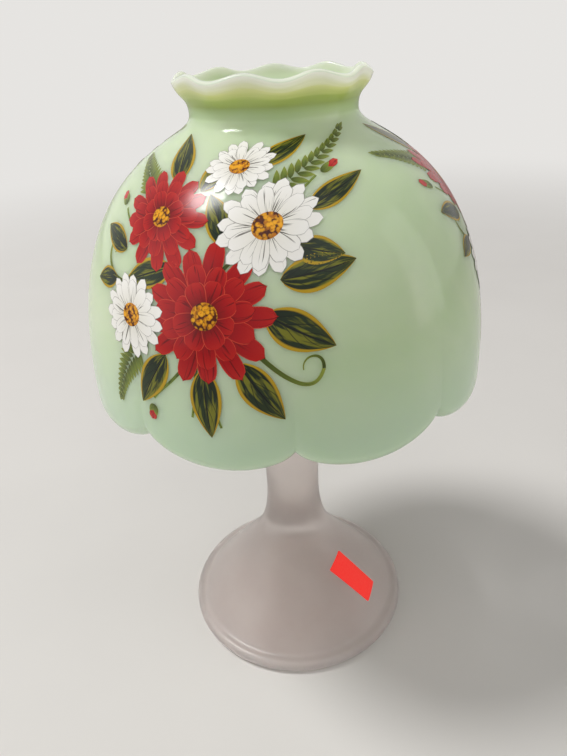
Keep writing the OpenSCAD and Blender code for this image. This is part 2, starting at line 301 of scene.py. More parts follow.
shadeSet = {"wall": 3.2, "belt": 64.9, "lip": 43.5, "notch": 56.5, "curl": 4.8, "notchCurl": 4.2,
            "notchIn": 0.5, "notchFade": 8, "scallops": 9, "scallopHeight": 6.6, "scallopTurn": 1,
            "full": 0.5, "soft": 0.11, "low": 111.0, "neckHeight": 84, "neck": 24.4, "domeReach": 72,
            "throatReach": 9, "collarHeight": 9.2, "collar": 27.9, "collarWall": 1.7, "collarLean": 1.3,
            "neckBend": 0.53, "lipBend": 0.45, "ruffles": 9, "ruffleHeight": 0.9, "ruffleFold": 0.5,
            "ruffleTurn": 21.7, "ruffleDrift": 2.7, "round": 0.35, "stepsPerScallop": 40, "crowding": 0.6,
            "underRows": 5, "curlRows": 10, "domeRows": 42, "collarRows": 12, "endRows": 8,
            "skinFade": 4, "glowFull": 2, "glowOutside": 2, "glowInside": 4}  # fades counted in rows


def scallop(azimuth):  # 1 in the middle of a scallop, 0 at a notch
    s = shadeSet
    wave = math.sin(math.radians(s["scallops"] / 2 * (azimuth - s["scallopTurn"])))
    soft = math.sqrt(wave * wave + s["soft"] ** 2) - s["soft"]
    return (soft / (math.sqrt(1 + s["soft"] ** 2) - s["soft"])) ** s["full"]


def domeCurve():  # control points of the dome, from its largest radius to the neck
    s = shadeSet
    beltZ, neckZ = s["low"] + s["curl"], s["low"] + s["neckHeight"]
    return [(s["belt"], beltZ), (s["belt"], beltZ + s["domeReach"]),
            (s["neck"], neckZ - s["throatReach"]), (s["neck"], neckZ)]


def domeStart(azimuth):  # place on the dome's curve where the curl under a scallop ends
    s = shadeSet
    dome = domeCurve()
    raised = (1 - scallop(azimuth)) * (s["scallopHeight"] + s["notchCurl"] - s["curl"])
    first = raised / (3 * s["domeReach"])
    return first + first * first * (2 - (dome[2][1] - dome[0][1]) / s["domeReach"])


def domePoint(azimuth, t):  # the glass is drawn in over a notch, and that levels out upwards
    s = shadeSet
    start = domeStart(azimuth)
    r, z = curvePoint(domeCurve(), start + (1 - start) * t)
    return r - s["notchIn"] * (1 - scallop(azimuth)) * (1 - t) ** s["notchFade"], z


def roundEnd(a, b, heading, steps, bulge):  # half ellipse from a to b that bulges along the heading
    middle = ((a[0] + b[0]) / 2, (a[1] + b[1]) / 2)
    reach = bulge * math.hypot(b[0] - a[0], b[1] - a[1])
    turns = [math.pi * i / steps for i in range(1, steps)]
    return [tuple(middle[k] + math.cos(t) * (a[k] - middle[k]) + math.sin(t) * reach * heading[k] for k in (0, 1))
            for t in turns]


def shadeSection(azimuth):  # closed section of the glass: outside, lip, inside, edge
    s = shadeSet
    gap = 1 - scallop(azimuth)
    edgeR = s["lip"] + (s["notch"] - s["lip"]) * gap
    sideR, sideZ = domePoint(azimuth, 0)
    turn = s["curl"] + (s["notchCurl"] - s["curl"]) * gap
    neckZ, height = domeCurve()[3][1], s["collarHeight"]
    drift = s["ruffleTurn"] + s["ruffleDrift"] * math.cos(math.radians(azimuth))  # crimped by hand, so not even
    wave = math.cos(math.radians(s["ruffles"] * (azimuth - drift)))
    flare = [(s["neck"], neckZ), (s["neck"], neckZ + s["neckBend"] * height),
             (s["collar"] - s["collarLean"], neckZ + s["lipBend"] * height), (s["collar"], neckZ + height)]
    outer = [(edgeR + (sideR - turn - edgeR) * i / s["underRows"], sideZ - turn) for i in range(s["underRows"])]
    outer += arcRun((sideR - turn, sideZ), turn, -90, 0, s["curlRows"])
    outer += [domePoint(azimuth, i / s["domeRows"]) for i in range(1, s["domeRows"])]
    for i in range(s["collarRows"] + 1):
        t = i / s["collarRows"]
        r, z = curvePoint(flare, t)
        outer.append((r - wave * t * t * s["ruffleFold"], z + wave * t * t * s["ruffleHeight"]))
    last = len(outer) - 1
    headings, inner = [], []
    for i, (r, z) in enumerate(outer):
        a, b = outer[max(i - 1, 0)], outer[min(i + 1, last)]
        length = math.hypot(b[0] - a[0], b[1] - a[1])
        heading = ((b[0] - a[0]) / length, (b[1] - a[1]) / length)
        thinned = max(0, 1 - (last - i) / s["collarRows"])  # the glass thins towards the lip
        wall = s["wall"] + (s["collarWall"] - s["wall"]) * thinned
        headings.append(heading)
        inner.append((r - wall * heading[1], z + wall * heading[0]))
    lip = roundEnd(outer[-1], inner[-1], headings[-1], s["endRows"], s["round"])
    edge = roundEnd(inner[0], outer[0], (-headings[0][0], -headings[0][1]), s["endRows"], s["round"])
    return outer + lip + inner[::-1] + edge


def crowdedAzimuth(azimuth):  # more columns where the notches are sharp
    s = shadeSet
    part = 360 / s["scallops"]
    n = (azimuth - s["scallopTurn"]) / part
    return s["scallopTurn"] + part * (n - s["crowding"] / (2 * math.pi) * math.sin(2 * math.pi * n))


def opalGlass():
    # pressed opal glass, fire polished: milky mint, wet gloss, light soaks in; the collar carries painted yellow-green
    # shade under the flare and painted light towards the lip, the lip a painted glow, the hem painted cool light
    material, tree = newMaterial("opal glass, mint")
    place = addNode(tree, "TexCoord").outputs["Object"]
    spot = addNode(tree, "SeparateXYZ", {"Vector": place}).outputs
    swirl = pattern(tree, "Noise", 38, Detail=3, Distortion=0.8)["Fac"]
    milk = ramp(tree, swirl, (0.3, "#c2dbad"), (0.7, "#d1e4bb"))
    # painted cool light: the glass is painted bluer towards the hem
    low = ranged(tree, spot["Z"], 0.8, 0.0, 112 * mm, 150 * mm, interpolation_type="SMOOTHSTEP")
    tone = blended(tree, low, milk, linear("#c3dfc0"))  # bluer towards the hem
    # painted shade and light: the collar's outside is painted darker yellow-green at the neck, under the flare, and
    # pale towards the lip where it faces the light; the streaks only waver the band
    rise = carried(tree, "collarRise")
    across = addNode(tree, "CombineXYZ", {"X": spot["X"], "Y": spot["Y"], "Z": rise}).outputs["Vector"]
    rings = addNode(tree, "Mapping", {"Vector": across, "Scale": (1 / (30 * mm), 1 / (30 * mm), 6)})
    flow = addNode(tree, "TexNoise", {"Vector": rings.outputs["Vector"], "Scale": 1.0, "Detail": 3})
    streak = ranged(tree, flow.outputs["Fac"], -0.16, 0.16)
    paintedCollarBand = ramp(tree, counted(tree, "ADD", rise, streak), (0.0, "#9aab82"), (0.28, "#a0af6e"), (0.5, "#a6b470"),
                (0.78, "#ced198"), (1.0, "#f2f5d6"))
    tone = blended(tree, carried(tree, "paintedBandMask"), tone, paintedCollarBand)
    # painted glow: the lip and the inside just below it are painted pale, for light coming through the thin edge
    tone = blended(tree, carried(tree, "lipPaintedGlow"), tone, linear("#e1f0cb"))
    wave = pattern(tree, "Noise", 22, Detail=1)["Fac"]
    seed = ranged(tree, pattern(tree, "Voronoi", 9)["Distance"], 1.0, 0.0, 0.0, 0.05)  # small bubbles
    relief = counted(tree, "MULTIPLY_ADD", seed, 0.06, wave)
    coated(tree, {"Base Color": tone, "Roughness": 0.11, "IOR": 1.5, "Specular IOR Level": 0.25,
                  "Normal": bumped(tree, relief, 0.12, 0.6), "Subsurface Weight": 0.85,
                  "Subsurface Radius": (1.0, 1.0, 0.8), "Subsurface Scale": 11 * mm})
    return material


def makeShade():
    s = shadeSet
    start = shadeSection(0)
    shade = turned("shadeGlass", start, s["scallops"] * s["stepsPerScallop"])
    rows = {(round(r, 2), round(z, 2)): i for i, (r, z) in enumerate(start)}
    neckRow = s["underRows"] + s["curlRows"] + s["domeRows"]
    lipRow = neckRow + s["collarRows"] + 1
    lipMiddle = lipRow + s["endRows"] // 2 - 1
    marks = ("lipPaintedGlow", "paintedBandMask", "collarRise")
    for name in marks:
        shade.data.attributes.new(name, "FLOAT", "POINT")
    glow, skin, rise = [shade.data.attributes[name].data for name in marks]
    sections = {}
    for v in shade.data.vertices:  # pulls each column of the turned blank to its own section
        r, z = math.hypot(v.co.x, v.co.y) / mm, v.co.z / mm
        row = rows.get((round(r, 2), round(z, 2)))
        if row is None:
            row = min(range(len(start)), key=lambda i: abs(start[i][0] - r) + abs(start[i][1] - z))
        column = round(crowdedAzimuth(math.degrees(math.atan2(v.co.x, -v.co.y))), 4)
        if column not in sections:
            sections[column] = shadeSection(column)
        r, z = sections[column][row]
        turn = math.radians(column)
        v.co = (r * math.sin(turn) * mm, -r * math.cos(turn) * mm, z * mm)
        # painted glow: pale on the lip's rows, reaching further inside than out
        fade = s["glowOutside"] if row < lipMiddle else s["glowInside"]  # the glow reaches further inside
        glow[v.index].value = share(1 - max(0, abs(row - lipMiddle) - s["glowFull"]) / fade)
        # painted shade and light: mask of the band on the collar's outside, fading in just below the neck
        skin[v.index].value = share((row - neckRow + 1) / s["skinFade"]) if row < lipRow else 0.0
        rise[v.index].value = share((row - neckRow) / s["collarRows"])  # 0 at the neck, 1 at the lip
    shade.data.update()
    facedOut(shade)
    bpy.ops.object.shade_smooth()
    finishPiece(shade, opalGlass(), "glass_shade", "opal_glass", "shade")


makeShade()


# Printed sprays on the shade, drawn flat in mm and then laid round the dome

spraySet = {"turns": (-21, 99, -141), "middle": 49, "lift": 0.036, "step": 0.006, "thick": 0.02, "seed": 7,
            "levels": {"stem": 0, "tendril": 2, "frond": 4, "leaf": 7, "bud": 10, "flower": 13},
            "ribbonSteps": 22, "stemWidth": 1.1, "stemTaper": 0.35, "tendrilWidths": (1.3, 0.9),
            "tendrilTapers": (0.3, 0.7), "leaflets": 12, "leafWidth": 0.24, "heartFlat": 0.94}
flowerSets = {"dahlia": {"flowers": ((2, -9, 18), (-14, 14, 14.5)), "rings": ((13, 1.0), (11, 0.76), (8, 0.5)),
                         "petal": 2.6, "heart": 0.2},
              "daisy": {"flowers": ((15, 13, 13), (-21, -12, 11), (4, 30, 9)), "rings": ((15, 1.0), (13, 0.82)),
                        "petal": 2.35, "heart": 0.29}}
greenSets = {"leaves": ((17, -8, -22, 20), (20, 0, 8, 19), (2, -22, -86, 18), (11, -20, -54, 19),
                        (-9, -20, -120, 17), (-28, -4, 196, 12), (-25, 4, 168, 14), (8, 30, 50, 15),
                        (-12, 24, 108, 17), (-4, 22, 66, 15), (24, 17, 34, 16), (-8, 2, 200, 16),
                        (6, 8, 120, 15), (22, 8, -14, 14)),
             "fronds": ((-18, -20, 232, 20), (14, 22, 48, 24), (-20, 20, 140, 17)),
             "buds": ((25, 27, 40), (-31, 15, 150), (-14, -35, 250)),
             "stems": (((0, -14), (-2, -24), (-10, -28), (-14, -33)), ((4, 0), (14, 12), (20, 20), (24, 26)),
                       ((-8, 8), (-18, 6), (-26, 10), (-30, 14)), ((2, -16), (4, -26), (4, -32), (6, -38)),
                       ((0, -16), (0, -26), (-1, -31), (-2, -36))),
             "tendrils": (((14, -16), (22, -24), (30, -30), (32, -22)), ((32, -22), (32, -17), (26, -18), (27, -22)),
                          ((-22, -4), (-32, -6), (-36, 2), (-32, 5)), ((-32, 5), (-29, 7), (-28, 3), (-31, 2)))}
inkSets = {
    "dahlia": {"name": "enamel, dahlia red", "stroke": "#6e050a", "strokes": (9, 1.3, 0.5, 0.6),
               "along": ((0, "#2a0204"), (0.3, "#6b060b"), (0.7, "#a00d13"), (1, "#b8201a")),
               "edge": ("#cf4530", 0.475, 0.8)},
    "daisy": {"name": "enamel, daisy white", "stroke": "#3b352a", "strokes": (11, 1.0, 0.42, 0.72),
              "along": ((0, "#c9bd98"), (0.25, "#e2dfd4"), (1, "#f1efea")), "edge": ("#4a443a", 0.485, 0.75)},
    "gold": {"name": "enamel, pollen gold", "stroke": "#b56c0c", "strokes": (6, 6, 0.5, 0.5),
             "along": ((0, "#d08a12"), (0.5, "#f0aa1c"), (1, "#e09a16")), "edge": ("#e8a51c", 0.6, 0),
             "dots": ((0.3, 1.0), (0.55, 0.8), (0.72, "#5a330a"))},
    "leaf": {"name": "enamel, laurel green", "stroke": "#757522", "strokes": (7, 2.2, 0.5, 0.46),
             "along": ((0, "#161f14"), (0.5, "#22301b"), (1, "#2f3a1a")), "edge": ("#b8951f", 0.41, 0.95),
             "vein": "#10170f"},
    "frond": {"name": "enamel, fern green", "stroke": "#46551f", "strokes": (4, 2, 0.5, 0.6),
              "along": ((0, "#39471c"), (0.6, "#6d7c30"), (1, "#8f9a3e")), "edge": ("#a9a244", 0.46, 0.6)},
    "stem": {"name": "enamel, stem green", "stroke": "#2c3818", "strokes": (3, 14, 0.5, 0.55),
             "along": ((0, "#2e3b18"), (0.5, "#5f7030"), (1, "#7c8f3c")), "edge": ("#a5b064", 0.44, 0.7)},
    "bud": {"name": "enamel, bud red", "stroke": "#7d0711", "strokes": (4, 2, 0.55, 0.6),
            "along": ((0, "#5c0510"), (0.5, "#b0121c"), (1, "#d2483c")), "edge": ("#6a0610", 0.46, 0.8)}}


def enamelPrint(name, along, stroke, strokes, edge, vein=None, dots=None):
    # fired enamel on glass: flat ink with brush strokes, under the same gloss as the glass
    material, tree = newMaterial(name)
    strokesAcross, strokesAlong, bareFoot, bareTip = strokes
    edgeColour, edgeFrom, edgeShare = edge
    spot = addNode(tree, "UVMap", uv_map="UVMap").outputs["UV"]
    part = addNode(tree, "SeparateXYZ", {"Vector": spot}).outputs
    side = counted(tree, "ABSOLUTE", counted(tree, "SUBTRACT", part["X"], 0.5))
    place = addNode(tree, "CombineXYZ", {"X": counted(tree, "MULTIPLY", part["X"], strokesAcross),
                                         "Y": counted(tree, "MULTIPLY", part["Y"], strokesAlong),
                                         "Z": counted(tree, "MULTIPLY", carried(tree, "stamp"), 60.0)})
    brush = addNode(tree, "TexNoise", {"Vector": place.outputs["Vector"], "Scale": 1.0, "Detail": 2}).outputs["Fac"]
    ink = ranged(tree, brush, 0.0, 1.0, ranged(tree, part["Y"], bareFoot, bareTip), 0.85)
    full = counted(tree, "MULTIPLY", ink, 3.0, use_clamp=True)
    tone = blended(tree, full, ramp(tree, part["Y"], *along), linear(stroke))
    if vein:  # middle rib and slanted side veins
        slant = counted(tree, "MULTIPLY_ADD", side, -1.1, part["Y"])
        comb = counted(tree, "PINGPONG", slant, 0.13)
        fine = ranged(tree, comb, 0.75, 0.0, 0.008, 0.022)
        rib = ranged(tree, side, 1.0, 0.0, 0.018, 0.04)
        tone = blended(tree, counted(tree, "MAXIMUM", fine, rib), tone, linear(vein))
    if dots:  # grains about 1 mm apart
        grain = ramp(tree, pattern(tree, "Voronoi", 1.0)["Distance"], *dots)
        tone = blended(tree, 1.0, tone, grain, blend_type="MULTIPLY")
    wobble = counted(tree, "MULTIPLY_ADD", brush, 0.06, side)
    margin = ranged(tree, wobble, 0.0, edgeShare, edgeFrom, edgeFrom + 0.04)
    tone = blended(tree, margin, tone, linear(edgeColour))
    coated(tree, {"Base Color": tone, "Roughness": 0.2, "IOR": 1.5, "Specular IOR Level": 0.25})
    return material


def makeDie(name, across, along, shape):  # flat patch whose shape gives x and y for each place across and along it
    clearSelection()
    bpy.ops.mesh.primitive_grid_add(x_subdivisions=across, y_subdivisions=along, size=1)
    die = bpy.context.object
    die.name = name
    for v in die.data.vertices:
        v.co.x, v.co.y = shape(2 * v.co.x, v.co.y + 0.5)
    return die


def petalShape(x, y):  # narrow at the heart, full and round at the tip
    return x * (0.12 + 0.88 * y ** 0.7) * math.sqrt(max(0.0004, 1 - y ** 5)), y - 0.02 * abs(x) * y


def rayShape(x, y):  # long and even, with two small notches at the tip
    notch = 0.035 * (0.5 - 0.5 * math.cos(4 * math.pi * x))
    return x * (0.3 + 0.7 * min(1, 1.6 * y)) * math.sqrt(max(0.0009, 1 - y ** 9)), y * (1 - notch)


def leafShape(x, y):  # broadest below the middle, drawn to a point
    return x * max(0.012, math.sin(math.pi * y ** 0.8) ** 0.85) + 0.12 * math.sin(2.4 * y), y


def discShape(x, y):  # square net pressed into a round
    y = 2 * y - 1
    return x * math.sqrt(1 - y * y / 2), y * math.sqrt(1 - x * x / 2)


dieSets = {"dahlia": ("petalDie", 8, 14, petalShape), "daisy": ("rayDie", 8, 12, rayShape),
           "leaf": ("leafDie", 10, 20, leafShape), "frond": ("leafletDie", 4, 8, leafShape),
           "bud": ("budDie", 6, 8, petalShape), "gold": ("heartDie", 12, 12, discShape)}


def drawSpray():
    s, g, levels = spraySet, greenSets, spraySet["levels"]
    chance = random.Random(s["seed"])
    inks = {kind: enamelPrint(**ink) for kind, ink in inkSets.items()}
    dies = {kind: makeDie(*die) for kind, die in dieSets.items()}
    prints = []

    def addInk(copy, kind):
        own = chance.random()
        for value in copy.data.attributes.new("stamp", "FLOAT", "POINT").data:
            value.value = own
        copy.data.materials.append(inks[kind])
        prints.append(copy)

    def stamp(kind, x, y, turn, wide, long, level):  # turn in degrees, 0 points right
        copy = copied("print", dies[kind].data)
        copy.data.transform(Matrix.Translation((x, y, level)) @ Matrix.Rotation(math.radians(turn - 90), 4, "Z")
                            @ Matrix.Diagonal((wide, long, 1, 1)))
        addInk(copy, kind)

    def ribbon(kind, points, wide, taper, level):  # narrow strip along a curve
        die = makeDie("ribbon", 2, s["ribbonSteps"], lambda x, y: (x, y))
        for v in die.data.vertices:
            x, t = v.co.x, v.co.y
            a, b = curvePoint(points, max(0, t - 0.01)), curvePoint(points, min(1, t + 0.01))
            size = math.hypot(b[0] - a[0], b[1] - a[1])
            middle, half = curvePoint(points, t), wide / 2 * (1 - taper * t)
            v.co = (middle[0] + x * half * (b[1] - a[1]) / size, middle[1] - x * half * (b[0] - a[0]) / size, level)
        addInk(die, kind)

    for i, points in enumerate(g["stems"]):
        ribbon("stem", points, s["stemWidth"], s["stemTaper"], levels["stem"] + i % 2)
    for i, points in enumerate(g["tendrils"]):
        ribbon("frond", points, s["tendrilWidths"][i % 2], s["tendrilTapers"][i % 2], levels["tendril"] + i % 2)
    for x, y, turn, long in g["fronds"]:  # leaflets in pairs, smaller towards the tip
        for i in range(s["leaflets"]):
            t = (i + 0.6) / s["leaflets"]
            lean = turn + 14 * (t - 0.5)
            at = (x + long * t * math.cos(math.radians(lean)), y + long * t * math.sin(math.radians(lean)))
            for hand in (-1, 1):
                stamp("frond", *at, lean + hand * (62 - 20 * t), 0.85, 6.2 * (1 - 0.72 * t), levels["frond"] + i % 2)
        stamp("frond", *at, lean, 0.8, 2.6, levels["frond"] + 2)
    for i, (x, y, turn, long) in enumerate(g["leaves"]):
        stamp("leaf", x, y, turn + chance.uniform(-4, 4), s["leafWidth"] * long, long * chance.uniform(0.96, 1.08),
              levels["leaf"] + i % 3)
    for x, y, turn in g["buds"]:
        stamp("bud", x, y, turn, 1.9, 5.2, levels["bud"])
        for k, hand in enumerate((-1, 1)):
            stamp("frond", x, y, turn + 24 * hand, 0.9, 3.4, levels["bud"] + 1 + k)
    level = levels["flower"]
    for kind, f in flowerSets.items():
        for x, y, size in f["flowers"]:
            tilt = chance.uniform(0, 30)
            for ring, (count, reach) in enumerate(f["rings"]):
                wide = size * f["petal"] / count * reach ** 0.6
                for i in range(count):
                    layer = 2 if i == count - 1 and count % 2 else i % 2
                    turn = tilt + 360 * (i + 0.5 * ring) / count + chance.uniform(-4, 4)
                    stamp(kind, x, y, turn, wide, size * reach * chance.uniform(0.93, 1.05), level + 3 * ring + layer)
            heart = size * f["heart"]
            stamp("gold", x, y, 90 + tilt, heart, heart * s["heartFlat"], level + 3 * len(f["rings"]))
        level += 3 * len(f["rings"]) + 1
    for die in dies.values():
        bpy.data.objects.remove(die)
    return joined(prints)


def makeSprays():
    s = spraySet
    design, dome, steps = drawSpray(), domeCurve(), 400
    table = [(0.0, 0.0)]  # way along the dome's curve, in mm, against place on it
    for i in range(1, steps + 1):
        a, b = curvePoint(dome, (i - 1) / steps), curvePoint(dome, i / steps)
        table.append((table[-1][0] + math.hypot(b[0] - a[0], b[1] - a[1]), i / steps))

    def wrap(x, y, level, turn):
        way = y + s["middle"]
        row = next(i for i in range(1, steps + 1) if table[i][0] >= way or i == steps)
        a, b = table[row - 1], table[row]
        place = a[1] + (b[1] - a[1]) * (way - a[0]) / (b[0] - a[0])
        azimuth = turn + math.degrees(x / curvePoint(dome, place)[0])
        start = domeStart(azimuth)
        t = (place - start) / (1 - start)
        p, q = domePoint(azimuth, t - 0.004), domePoint(azimuth, t + 0.004)
        size = math.hypot(q[0] - p[0], q[1] - p[1])
        off = s["lift"] + s["step"] * level
        r, z = domePoint(azimuth, t)
        r, z = r + off * (q[1] - p[1]) / size, z - off * (q[0] - p[0]) / size
        return r * mm * math.sin(math.radians(azimuth)), -r * mm * math.cos(math.radians(azimuth)), z * mm

    for number, turn in enumerate(s["turns"], 1):
        spray = copied(f"enamelSpray{number}", design.data)
        for v in spray.data.vertices:
            v.co = wrap(*v.co, turn)
        facedOut(spray)
        ink = spray.modifiers.new("ink", "SOLIDIFY")
        ink.thickness = s["thick"] * mm
        ink.offset = -1
        bpy.ops.object.modifier_apply(modifier="ink")
        bpy.ops.object.shade_smooth_by_angle(angle=math.radians(40))
        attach(spray, "glass_shade")
        print("made", spray.name, len(spray.data.polygons), "faces")
    bpy.data.objects.remove(design)


makeSprays()


# Frosted glass pedestal

pedestalSet = {"foot": 44, "bead": 2.4, "rimWidth": 4.4, "rimHeight": 5.3, "wall": 5, "bellTop": (18.5, 30.6),
               "waist": (10.2, 59), "flareReach": 9, "waistDrop": 12, "waistRise": 19, "shoulder": 26.7,
               "shoulderZ": 107, "shoulderEdge": 6.5, "shoulderRound": 0.8, "flareIn": 14.2, "flareDown": 8.5,
               "socket": 22.3, "socketWall": 2.6, "socketFloor": 101, "socketRim": 113, "socketRound": 1,
               "fillet": 0.2, "ledge": 1.6, "restEdge": (0.4, 0.5), "steps": 160, "beadSteps": 24,
               "ledgeSteps": 10, "coneSteps": 14, "curveSteps": 26, "hollowSteps": 14}


def frostedGlass():
    # clear glass with an acid-etched skin: silky, no sharp shine, light spreads inside; the rim bead is painted paler,
    # a painted highlight where its edge catches light
    material, tree = newMaterial("frosted glass, acid etched")
    place = addNode(tree, "TexCoord").outputs["Object"]
    height = addNode(tree, "SeparateXYZ", {"Vector": place}).outputs["Z"]
    cloud = pattern(tree, "Noise", 17, Detail=4)["Fac"]
    tone = ramp(tree, cloud, (0.3, "#e6dcd8"), (0.7, "#f0e8e4"))
    # painted highlight: the foot's rim bead is painted paler
    bead = ranged(tree, height, 0.75, 0.0, 3 * mm, 6.5 * mm, interpolation_type="SMOOTHSTEP")
    tone = blended(tree, bead, tone, linear("#f6f0ee"))
    grain = pattern(tree, "Noise", 0.5, Detail=2)["Fac"]  # etch is finer, drawn to show
    coated(tree, {"Base Color": tone, "Roughness": ranged(tree, cloud, 0.32, 0.44), "IOR": 1.5,
                  "Normal": bumped(tree, grain, 0.12, 0.05), "Transmission Weight": 0.82,
                  "Sheen Weight": 0.3, "Sheen Roughness": 0.4, "Sheen Tint": linear("#f8f2ef"),
                  "Subsurface Weight": 0.3, "Subsurface Radius": (1.0, 0.9, 0.85), "Subsurface Scale": 5 * mm})
    return material


def makePedestal():
    s = pedestalSet
    bellFoot, top, waist = s["foot"] - s["rimWidth"], s["bellTop"], s["waist"]
    length = math.hypot(top[0] - bellFoot, top[1] - s["rimHeight"])
    along = ((top[0] - bellFoot) / length, (top[1] - s["rimHeight"]) / length)
    out = (along[1], -along[0])

    def bell(way):  # point on the bell's straight side, so far up from its foot
        return bellFoot + along[0] * way, s["rimHeight"] + along[1] * way

    hollowFoot = (bellFoot - s["wall"] * out[0], s["rimHeight"] - s["wall"] * out[1])
    hollowTop = (top[0] - s["wall"] * out[0], top[1] - s["wall"] * out[1])
    hollowZ, hollowEase = hollowTop[1] + hollowTop[0] / 2, hollowTop[0] / 4
    restR = hollowFoot[0] - along[0] / along[1] * hollowFoot[1]
    restIn, restUp = s["restEdge"]
    shoulderLow = (s["shoulder"], s["shoulderZ"] - s["shoulderEdge"])
    edge, rim, inRound = s["shoulderRound"], s["socketWall"] / 2, s["socketRound"]
    bead = arcRun((s["foot"] - s["bead"], s["bead"]), s["bead"], -90, 90, s["beadSteps"])
    beadTop, ledge = bead[-1], s["ledge"]
    outside = [(restR + restIn, 0)] + bead
    outside += curveRun([beadTop, (beadTop[0] - ledge, beadTop[1]), bell(s["fillet"]), bell(ledge)],
                        s["ledgeSteps"])[1:]
    outside += [bell(ledge + (length - ledge) * i / s["coneSteps"]) for i in range(s["coneSteps"])]
    outside += curveRun([top, (top[0] + s["flareReach"] * along[0], top[1] + s["flareReach"] * along[1]),
                         (waist[0], waist[1] - s["waistDrop"]), waist], s["curveSteps"])
    outside += curveRun([waist, (waist[0], waist[1] + s["waistRise"]),
                         (shoulderLow[0] - s["flareIn"], shoulderLow[1] - s["flareDown"]), shoulderLow],
                        s["curveSteps"])
    outside += [shoulderLow] + arcRun((s["shoulder"] - edge, s["shoulderZ"] - edge), edge, 0, 90, 5)
    outside += [(s["socket"] + s["socketWall"] + s["fillet"], s["shoulderZ"])]
    outside += arcRun((s["socket"] + rim, s["socketRim"] - rim), rim, 0, 180, 12)
    inside = arcRun((s["socket"] - inRound, s["socketFloor"] + inRound), inRound, 0, -90, 5)
    inside += [(0, s["socketFloor"]), (0, hollowZ)]
    inside += curveRun([(0, hollowZ), (hollowTop[0] / 2, hollowZ),
                        (hollowTop[0] + hollowEase * along[0], hollowTop[1] + hollowEase * along[1]), hollowTop],
                       s["hollowSteps"])[1:]
    inside += [hollowTop, (restR - restIn * out[0], restUp)]
    pedestal = turned("pedestalGlass", outside + inside, s["steps"], 50)
    return finishPiece(pedestal, frostedGlass(), "pedestal", "frosted_glass", "pedestal_base")


pedestal = makePedestal()


# Label on the foot

labelSet = {"length": 22, "width": 9.4, "thick": 0.15, "azimuth": 56, "tilt": 16, "height": 20, "corner": 0.5,
            "lift": 0.05, "stepsAlong": 44, "stepsAcross": 22}


def labelPaper():
    # coated label paper in fluorescent ink: flat and very bright, helped by a painted glow, fine fibres, no gloss
    material, tree = newMaterial("fluorescent label paper")
    fibre = pattern(tree, "Noise", 0.7, Detail=4)["Fac"]
    # painted glow: the emission stands for the ink's fluorescence and shines whatever light falls on it
    coated(tree, {"Base Color": ramp(tree, fibre, (0.3, "#ff2a20"), (0.75, "#ff3d30")), "Roughness": 0.62,
                  "Normal": bumped(tree, fibre, 0.15, 0.03),
                  "Emission Color": linear("#ff2a22"), "Emission Strength": 0.34})
    return material


def makeLabel(pedestal):
    s, p = labelSet, pedestalSet
    bellFoot = p["foot"] - p["rimWidth"]
    slope = math.atan2(p["bellTop"][1] - p["rimHeight"], bellFoot - p["bellTop"][0])
    middle = bellFoot - (s["height"] - p["rimHeight"]) / math.tan(slope)
    clearSelection()
    bpy.ops.mesh.primitive_grid_add(x_subdivisions=s["stepsAlong"], y_subdivisions=s["stepsAcross"], size=1)
    label = bpy.context.object
    label.name = "priceLabel"
    halfX, halfY, corner = s["length"] / 2, s["width"] / 2, s["corner"]
    for v in label.data.vertices:
        x, y = v.co.x * s["length"], v.co.y * s["width"]
        overX, overY = abs(x) - halfX + corner, abs(y) - halfY + corner
        if overX > 0 and overY > 0 and math.hypot(overX, overY) > corner:  # rounds the corners a little
            pull = corner / math.hypot(overX, overY)
            x = math.copysign(halfX - corner + overX * pull, x)
            y = math.copysign(halfY - corner + overY * pull, y)
        v.co = (x * mm, y * mm, 0)
    label.matrix_world = (Matrix.Rotation(math.radians(s["azimuth"] - 90), 4, "Z")
                          @ Matrix.Translation((middle * mm, 0, s["height"] * mm))
                          @ Matrix.Rotation(slope, 4, "Y") @ Matrix.Rotation(math.radians(s["tilt"]), 4, "Z"))
    wrap = label.modifiers.new("lay", "SHRINKWRAP")
    wrap.target = pedestal
    wrap.wrap_method = "PROJECT"
    wrap.use_project_z = True
    wrap.use_negative_direction = True
    wrap.use_positive_direction = True
    wrap.offset = s["lift"] * mm
    sheet = label.modifiers.new("sheet", "SOLIDIFY")
    sheet.thickness = s["thick"] * mm
    sheet.offset = 1
    pick(label)
    bpy.ops.object.modifier_apply(modifier="lay")
    bpy.ops.object.modifier_apply(modifier="sheet")
    bpy.ops.object.transform_apply(location=True, rotation=True, scale=True)
    bpy.ops.object.shade_smooth_by_angle(angle=math.radians(40))
    finishPiece(label, labelPaper(), "pedestal", "label_paper", "price_sticker")


makeLabel(pedestal)


# Brass gallery

gallerySet = {"sleeve": 25.2, "sleeveWall": 1, "hub": 30.8, "hubZ": 107.2, "sheet": 1.2, "sleeveHeight": 4,
              "ringInner": 37.18, "ring": 47.2, "ringZ": 109.6, "ribInner": 40.58, "ribOuter": 41.58,
              "ribHeight": 3.2, "edge": 0.3, "armEdge": 0.18, "rivetRadii": (28.5, 38.88), "rivet": 1.5,
              "rivetHead": 0.8, "rivetRows": 8, "rivetSteps": 24, "armTurn": 61, "steps": 144}


